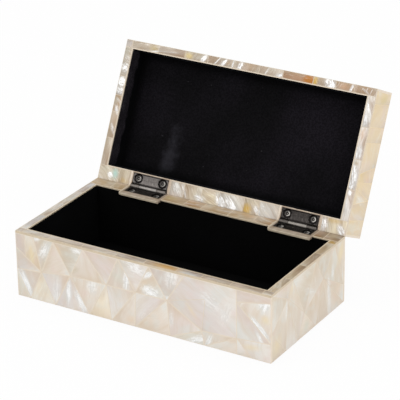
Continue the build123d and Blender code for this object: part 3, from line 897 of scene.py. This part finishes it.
def boneFinish(name):
    # cream with a pink-brown cast, mottled, scratched and pitted; paler towards the lip, brown near the leaf as
    # dirt and painted shade
    look = boneLooks[name]
    material, start = newMaterial(name)
    place = attribute(start, "hingePlace")
    along, out = parts(place)[:2]
    cloud = noise(place, 0.16, 4.0, 0.6)
    fibre = noise(place, (0.35, 2.6, 1.4), 3.0, 0.6)
    cross = noise(warped(place, 2.0, 0.2), (0.45, 0.12, 0.1))
    pit = smooth(noise(place, 1.5, 2.0), 0.64, 0.75)
    torn = noise(place, 0.9, 2.0) - 0.5
    lip = smooth(out + torn * 0.6, 14.1, 14.7) + smooth(along + torn * 1.2, -15.3, -16.4)
    # dirt and painted shade at the leaf's edge
    grime = smooth(along.math("ABSOLUTE", along) + torn, 15.9, 15.0) * smooth(out + torn, 10.7, 9.9)
    colour = painted(
        look["main"],
        (smooth(cloud, 0.35, 0.7), look["second"]),
        (smooth(cross, 0.48, 0.66) * 0.18, look["lip"]),
        (smooth(fibre, 0.5, 0.72) * 0.3, "b39a82"),
        (clamped(lip) * 0.8, look["lip"]),
        (smooth(along + torn * 1.5, 14.8, 16.2) * 0.35, "8f7763"),
        (grime * 0.6, "6f5c4b"),
        (pit * 0.45, "8a7461"))
    surface(start, {"Base Color": colour, "Roughness": 0.42 + fibre * 0.2, "Coat Weight": 0.1,
                    "Coat Roughness": 0.2, "Normal": bump(fibre * 0.5 + cloud - pit, 0.35, 0.0003)})
    return material


# The kinds of hinge piece by a word of their nodes' names, with the rounding of their edges. Edges sharper than
# the angle are rounded.
hardwareAngle = 40.0
hardware = {
    "leaf_screws": {"round": 0.12, "slot": "screw"},
    "hinge_block": {"round": 0.22, "slot": "bone"},
    "pin": {"round": 0.08, "slot": "hinge"},
    "leaf": {"round": 0.16, "slot": "hinge"},
}
hardwareFinishes = {
    "leaf_screws_left": screwFinish("screwLeft"), "leaf_screws_right": screwFinish("screwRight"),
    "base_hinge_block": boneFinish("baseBone"), "lid_hinge_block": boneFinish("lidBone"),
    "hinge_lid_leaf_left": leafFinish("lidLeafLeft"), "hinge_lid_leaf_right": leafFinish("lidLeafRight"),
    "hinge_base_leaf_left": leafFinish("baseLeafLeft"), "hinge_base_leaf_right": leafFinish("baseLeafRight"),
}
hardwareFinishes["hinge_pin"] = hardwareFinishes["hinge_lid_leaf_left"]

for node in sorted(frame["nodes"]):
    fitting = next((settings for kind, settings in hardware.items() if kind in node), None)
    if not fitting:
        continue
    mesh = cadCopy(node)
    store(mesh, "hingePlace", hingePlace(node, closedPoints(mesh, node)))
    store(mesh, "barrelPlace", pointsOf(mesh) / millimetre - (0, layout["axisY"], layout["axisZ"]))
    finish = next(material for key, material in hardwareFinishes.items() if key in node)
    roundEdges(fitPiece(mesh, node, finish), fitting["round"], hardwareAngle)
print("hinges dressed")


# One velvet in lit and shaded copies: the lid's pile and brushing are lighter than the base's as painted light,
# and the lid's left wall is lighter still as painted light from the right. The border and foot settings are
# painted shade along the edges and at a wall's foot.
pileDefaults = {"borderWide": 8.0, "uneven": 0.0, "crease": (0.42, 0.7)}
pileLooks = {
    "base": {"pile": "080808", "brushed": "0c0c0d", "brushScale": 22.0, "sheen": 0.01, "lint": 0.1, "border": 0.3,
             "foot": 0.3, "lumps": 0.45},
    "lid": {"pile": "151416", "brushed": "232026", "brushScale": 13.0, "sheen": 0.03, "lint": 0.25, "border": 0.85,
            "foot": 0.6, "lumps": 0.5},
    "felt": {"pile": "16171a", "brushed": "1e1f23", "brushScale": 40.0, "sheen": 0.1, "lint": 0.2, "border": 0.1,
             "foot": 0.0, "lumps": 0.0, "borderWide": 3.0},
    "lidSide": {"pile": "2c282d", "brushed": "423e44", "brushScale": 60.0, "sheen": 0.03, "lint": 0.3,
                "border": 0.3, "foot": 1.0, "lumps": 0.6, "borderWide": 0.6, "uneven": 0.5, "crease": (0.5, 0.62)},
}


def velvetFinish(name):
    # short pile: a fine speckle, broad soft places where it was brushed the other way, and painted shade: dark
    # borders along its edges and a dark band at a wall's foot, where it meets the pad
    look = {**pileDefaults, **pileLooks[name]}
    material, start = newMaterial(name + ("" if name == "felt" else "Velvet"))
    fromEdge, foot = parts(attribute(start, "liningPlace"))[:2]
    coords = objectPlace(start)
    nap = noise(coords, 3200.0, 2.0)
    brush = smooth(noise(warped(coords, 0.02, 18.0), look["brushScale"], 2.0), 0.45, 0.75)
    lint = smooth(noise(warped(coords, 0.004, 240.0), (420.0, 1700.0, 900.0), 1.0), 0.79, 0.82)
    torn = noise(coords, 420.0, 3.0, 0.6) - 0.5
    cloudy = noise(coords, 90.0, 2.0, 0.6) - 0.5
    uneven = noise(coords, 110.0, 3.0, 0.6) - 0.5
    smudgePlace = attribute(start, "smudge")
    smudge = fade(flatDistance(smudgePlace) + torn * 0.8 + cloudy * 1.6, 0.0, 1.2) * parts(smudgePlace)[2]
    # painted shade along the edges and at a wall's foot
    border = fade(fromEdge + torn * 3.0, 0.0, look["borderWide"]) * look["border"]
    border = border + smooth(foot + torn * 0.15 + uneven * look["uneven"], *look["crease"]) * look["foot"]
    colour = painted(
        look["pile"],
        (brush, look["brushed"]),
        (nap * 0.45, "000000"),
        (smooth(noise(coords, 900.0, 3.0, 0.6), 0.44, 0.56) * look["lumps"], "000000"),
        (lint * look["lint"], "6d6a70"),
        (clamped(smudge * (0.6 + brush * 0.5)), "3a393f"),
        (clamped(border), "020202"))
    surface(start, {"Base Color": colour, "Roughness": 0.92 + nap * 0.08, "Specular IOR Level": 0.05,
                    "Sheen Weight": look["sheen"], "Sheen Roughness": 0.5, "Sheen Tint": tone("9aa2b4"),
                    "Normal": bump(nap + brush * 0.4, 0.5, 0.0002)})
    return material


def roundedOutline(halfX, halfY, corner, inset, perEdge, perCorner):
    # a rounded rectangle drawn in by inset: straight runs and quarter circles, by the same steps at each inset
    a, b = max(halfX - inset, 0.0), max(halfY - inset, 0.0)
    radius = min(max(corner - inset, 0.02), a, b)
    corners = []
    for signX, signY, begin in ((1, 1, 0.0), (-1, 1, 0.5), (-1, -1, 1.0), (1, -1, 1.5)):
        angle = (begin + np.linspace(0, 0.5, perCorner)) * math.pi
        corners.append(np.stack([signX * (a - radius) + radius * np.cos(angle),
                                 signY * (b - radius) + radius * np.sin(angle)], axis=1))
    runs = []
    for index, corner in enumerate(corners):
        following = corners[(index + 1) % 4][0]
        share = np.linspace(0, 1, perEdge[index % 2] + 2)[1:-1, None]
        runs += [corner, corner[-1] * (1 - share) + following * share]
    return np.concatenate(runs)


def liningMesh(name, halfX, halfY, thick, settings):
    # rings round the outline by steps across it: back centre, edge, rolled rim, crowned front. The crown is
    # (1 - |x|^6)(1 - |y|^4), and slow waves are laid over it.
    roll = settings["roll"]
    turn = np.linspace(0, math.pi / 2, 6)
    reach = min(halfX, halfY)
    inner = np.linspace(0, 1, settings["rings"] + 1)[1:] ** 1.3
    # each ring: how far in, how high, and how much of the crown and the waves it takes
    steps = [(reach, 0.0, 0.0), (0.35 * reach, 0.0, 0.0), (roll * 0.3, 0.0, 0.0), (0.0, roll * 0.3, 0.0)]
    steps += [(roll * (1 - math.cos(a)), thick - roll * (1 - math.sin(a)), 0.0) for a in turn]
    steps += [(roll + (reach - roll) * share, thick, 1.0) for share in inner]
    rings = []
    for inset, height, front in steps:
        flat = roundedOutline(halfX, halfY, settings["corner"], inset, settings["perEdge"], settings["perCorner"])
        x, y = flat[:, 0] / halfX, flat[:, 1] / halfY
        crown = settings["crown"] * ((1 - np.abs(x) ** 6) * (1 - np.abs(y) ** 4) - 1)
        wave = settings["wave"] * np.sin(7.3 * x + 2.1 * y + settings["seed"]) * np.sin(3.1 * y + 4.7 * x * y)
        wave = wave * (1 - np.abs(x) ** 4) * (1 - y ** 4)
        rings.append(np.column_stack([flat, height + front * (crown + wave)]))
    grid = np.stack(rings)
    count, around = grid.shape[:2]
    index = np.arange(count * around).reshape(count, around)
    following = np.roll(index, -1, axis=1)
    faces = np.stack([index[:-1], following[:-1], following[1:], index[1:]], axis=-1).reshape(-1, 4)
    mesh = bpy.data.meshes.new(name)
    mesh.from_pydata(grid.reshape(-1, 3), [], faces.tolist())
    work = bmesh.new()
    work.from_mesh(mesh)
    bmesh.ops.remove_doubles(work, verts=work.verts[:], dist=1e-4)
    bmesh.ops.dissolve_degenerate(work, dist=1e-5, edges=work.edges[:])
    bmesh.ops.recalc_face_normals(work, faces=work.faces[:])
    work.to_mesh(mesh)
    work.free()
    return mesh


def padMesh(name, halfX, halfY, thick, settings):
    # a closed pad, not yet swollen: a grid over its front, which lies full height under the wall linings and drops
    # inside them, straight sides and a flat back
    inward, drops = np.array(settings["tuck"]).T

    def runs(half):
        reach = half - inward[-1]
        middle = np.linspace(-reach, reach, round(2 * reach / settings["grid"]) + 1)[1:-1]
        return np.concatenate([inward - half, middle, half - inward[::-1]])

    x, y = np.meshgrid(runs(halfX), runs(halfY), indexing="ij")
    height = thick - np.interp(np.minimum(halfX - abs(x), halfY - abs(y)), inward, drops)
    front = np.stack([x, y, height], axis=-1)
    index = np.arange(x.size).reshape(x.shape)
    faces = np.stack([index[:-1, :-1], index[1:, :-1], index[1:, 1:], index[:-1, 1:]], axis=-1).reshape(-1, 4)
    border = np.concatenate([index[:-1, 0], index[-1, :-1], index[:0:-1, -1], index[0, :0:-1]])
    foot = np.arange(len(border)) + x.size
    sides = np.stack([np.roll(border, -1), border, foot, np.roll(foot, -1)], axis=-1)
    points = np.concatenate([front.reshape(-1, 3), front.reshape(-1, 3)[border] * (1, 1, 0)])
    mesh = bpy.data.meshes.new(name)
    mesh.from_pydata(points, [], [*faces.tolist(), *sides.tolist(), foot[::-1].tolist()])
    return mesh


def swell(mesh, thick, settings):
    # the front rises like a cushion's: cloth held where it is tucked in, with pressure inside and no weight
    points = pointsOf(mesh)
    fromEdge = (points.max(axis=0) - abs(points))[:, :2].min(axis=1)
    trial = mesh.copy()
    movePoints(trial, points * millimetre)
    pad = addObject("swelling", trial)
    held = np.nonzero(fromEdge < settings["tuck"][-1][0] + 1e-3)[0]
    pad.vertex_groups.new(name="held").add(held.tolist(), 1.0, "REPLACE")
    cloth = pad.modifiers.new("cloth", "CLOTH")
    for key, value in settings["cloth"].items():
        setattr(cloth.settings, key, value)
    cloth.settings.vertex_group_mass = "held"
    cloth.settings.use_pressure = True
    cloth.settings.effector_weights.gravity = 0.0
    cloth.point_cache.frame_start, cloth.point_cache.frame_end = 1, settings["frames"]
    for step in range(1, settings["frames"] + 1):
        bpy.context.scene.frame_set(step)
    swollen = pointsOf(pad.evaluated_get(bpy.context.evaluated_depsgraph_get()).data) / millimetre
    bpy.data.objects.remove(pad)
    bpy.data.meshes.remove(trial)
    bpy.context.scene.frame_set(1)
    points += np.clip(swollen - points, -settings["cap"], settings["cap"])
    points[:, 2] = np.minimum(points[:, 2], thick)
    movePoints(mesh, points)


def layOn(mesh, origin, across, up, body):
    # local millimetres to the closed box: origin + x across + y up + z out, then to metres at rest
    x, y, z = pointsOf(mesh).T[:, :, None]
    movePoints(mesh, toWorld(origin + x * across + y * up + z * np.cross(across, up), body))


liningSettings = {
    "pad": {
        "tuck": ((0.0, 0.1), (0.1, 0.0), (0.8, 0.0), (1.05, 0.22), (1.3, 0.44)),  # how far in, and how far down
        "grid": 3.0, "cap": 0.6, "frames": 20,
        "cloth": {"uniform_pressure_force": 2.5, "tension_stiffness": 400.0, "compression_stiffness": 400.0,
                  "bending_stiffness": 5.0, "air_damping": 10.0},
    },
    "wall": {
        "roll": 0.2, "crown": 0.06, "wave": 0.03, "corner": 0.3, "rings": 10, "perEdge": (60, 24), "perCorner": 4,
    },
    "felt": {
        "roll": 0.2, "crown": 0.0, "wave": 0.0, "corner": 2.0, "rings": 6, "perEdge": (60, 30), "perCorner": 6,
    },
}

alongX, alongY, alongZ = np.eye(3)

# What runs to the right on each wall, seen from inside the box
wallFacings = {"front": -alongX, "back": alongX, "left": alongY, "right": -alongY}

# Where the pile was stroked pale, as for the flashes: x and y from the front left corner
smudges = {"lid_lining_pad": (46, 73, 21, 7.5, 98, 0.75)}


def lining(node, kind, finish, across, up, seed=0.0):
    # a lining or pad as large as its CAD solid, and the size that it is cut to
    settings = {**liningSettings[kind], "seed": seed}
    closed = closedPoints(frame["nodes"][node].data, node)
    low, high = closed.min(axis=0), closed.max(axis=0)
    out = np.cross(across, up)
    halfX, halfY, thick = (abs((high - low) @ axis) for axis in (across / 2, up / 2, out))
    mesh = (padMesh if kind == "pad" else liningMesh)(pieceName(node), halfX, halfY, thick, settings)
    if kind == "pad":
        swell(mesh, thick, settings)
    x, y = pointsOf(mesh).T[:2]
    # a wall's foot is where it meets the pad: its lower edge in the base, its upper one in the lid
    foot = 0.5 + 0.5 * y / halfY * (1 if node.startswith("lid") else -1) if kind == "wall" else 0.0 * y
    store(mesh, "liningPlace", np.column_stack([np.minimum(halfX - abs(x), halfY - abs(y)), foot, 0.0 * x]))
    layOn(mesh, (low + high) / 2 - out * thick / 2, across, up, bodyOf(node))
    if node in smudges:
        store(mesh, "smudge", spotPlace(facePlace(node, closedPoints(mesh, node)), smudges[node]))
    piece = fitPiece(mesh, node, finish)
    mesh.shade_smooth()
    return piece, (2 * halfX * millimetre, 2 * halfY * millimetre)


velvets = {name: velvetFinish(name) for name in pileLooks}
seedStep = 1.7
seed = 0.0
for part in ("base", "lid"):
    for side, across in wallFacings.items():
        seed += seedStep
        velvet = velvets["lidSide" if (part, side) == ("lid", "left") else part]
        piece, flatSize = lining(f"{part}_{side}_lining", "wall", velvet, across, alongZ, seed)
    seed += seedStep
    facing = alongY if part == "base" else -alongY
    lining(f"{part}_lining_pad", "pad", velvets[part], alongX, facing)[0]
felt, flatSize = lining("base_felt", "felt", velvets["felt"], alongX, -alongY)
print("velvet and felt laid")


stageSettings = {"floorSize": 8.0, "shadowShare": 0.06, "worldLight": 0.82}


def lightPath(start, *rays):
    # 1 where any of the named rays looks, else 0
    path = start.node("LightPath")
    found = path
    for ray in rays:
        found = path.math("MAXIMUM", found, Wire(path.tree, path.socket.node.outputs[ray]))
    return found


def stageFinish():
    # pale and matt, and almost its own light where the camera, gloss or glass looks at it
    material, start = newMaterial("paleFloor")
    seen = lightPath(start, "Is Glossy Ray", "Is Transmission Ray")
    cloth = start.node("BsdfDiffuse", None, {"Color": (0.86, 0.86, 0.86, 1.0)})
    glow = start.node("Emission", None, {"Color": (1.0, 1.0, 1.0, 1.0), "Strength": 1.0})
    mixed = start.node("MixShader", None, {0: seen * (1 - stageSettings["shadowShare"]), 1: cloth, 2: glow})
    start.node("OutputMaterial", None, {"Surface": mixed})
    return material


reach = stageSettings["floorSize"] / 2
floorMesh = bpy.data.meshes.new("floor")
floorCorners = [(-reach, -reach, 0), (reach, -reach, 0), (reach, reach, 0), (-reach, reach, 0)]
floorMesh.from_pydata(floorCorners, [], [(0, 1, 2, 3)])
floorMesh.materials.append(stageFinish())
floor = addObject("floor", floorMesh)

world = bpy.data.worlds.new("studio")
bpy.context.scene.world = world
world.use_nodes = True
world.node_tree.nodes.clear()
sky = Wire(world.node_tree)
skyStrength = stageSettings["worldLight"] + lightPath(sky, "Is Glossy Ray") * (1 - stageSettings["worldLight"])
background = sky.node("Background", None, {"Color": (1.0, 1.0, 1.0, 1.0), "Strength": skyStrength})
sky.node("OutputWorld", None, {"Surface": background})

# Soft boxes: place, size and power
lamps = {
    "softLeft": {"at": (-0.9, -1.0, 1.0), "size": 0.9, "power": 3.5},
    "softRight": {"at": (1.3, -0.6, 0.6), "size": 0.8, "power": 3.5},
    "softTop": {"at": (0.1, 0.2, 1.6), "size": 1.0, "power": 4.0},
}
lampTarget = (0.0, 0.05, 0.05)


def standAt(thing, place, azimuth, elevation, roll=0.0):
    # looking back at the box from an azimuth and elevation: Rz(azimuth) Rx(90 degrees - elevation) Rz(roll)
    turns = ((azimuth, "Z"), (math.pi / 2 - elevation, "X"), (roll, "Z"))
    matrix = Matrix.Translation(place)
    for angle, axis in turns:
        matrix @= Matrix.Rotation(angle, 4, axis)
    thing.matrix_world = matrix


for name, settings in lamps.items():
    light = bpy.data.lights.new(name, "AREA")
    light.size, light.energy = settings["size"], settings["power"]
    x, y, z = np.subtract(settings["at"], lampTarget)
    standAt(addObject(name, light), settings["at"], math.atan2(x, -y), math.atan2(z, math.hypot(x, y)))

view = {"azimuth": 31.458, "elevation": 24.517, "roll": -0.917, "place": (0.7134, -1.1380, 0.6879), "lens": 194.4}
lens = bpy.data.cameras.new("view")
lens.lens, lens.sensor_width, lens.clip_end = view["lens"], 36.0, 50.0
camera = addObject("view", lens)
standAt(camera, view["place"], *(math.radians(view[key]) for key in ("azimuth", "elevation", "roll")))
bpy.context.scene.camera = camera
bpy.context.scene.view_settings.view_transform = "Standard"
print("stage set")
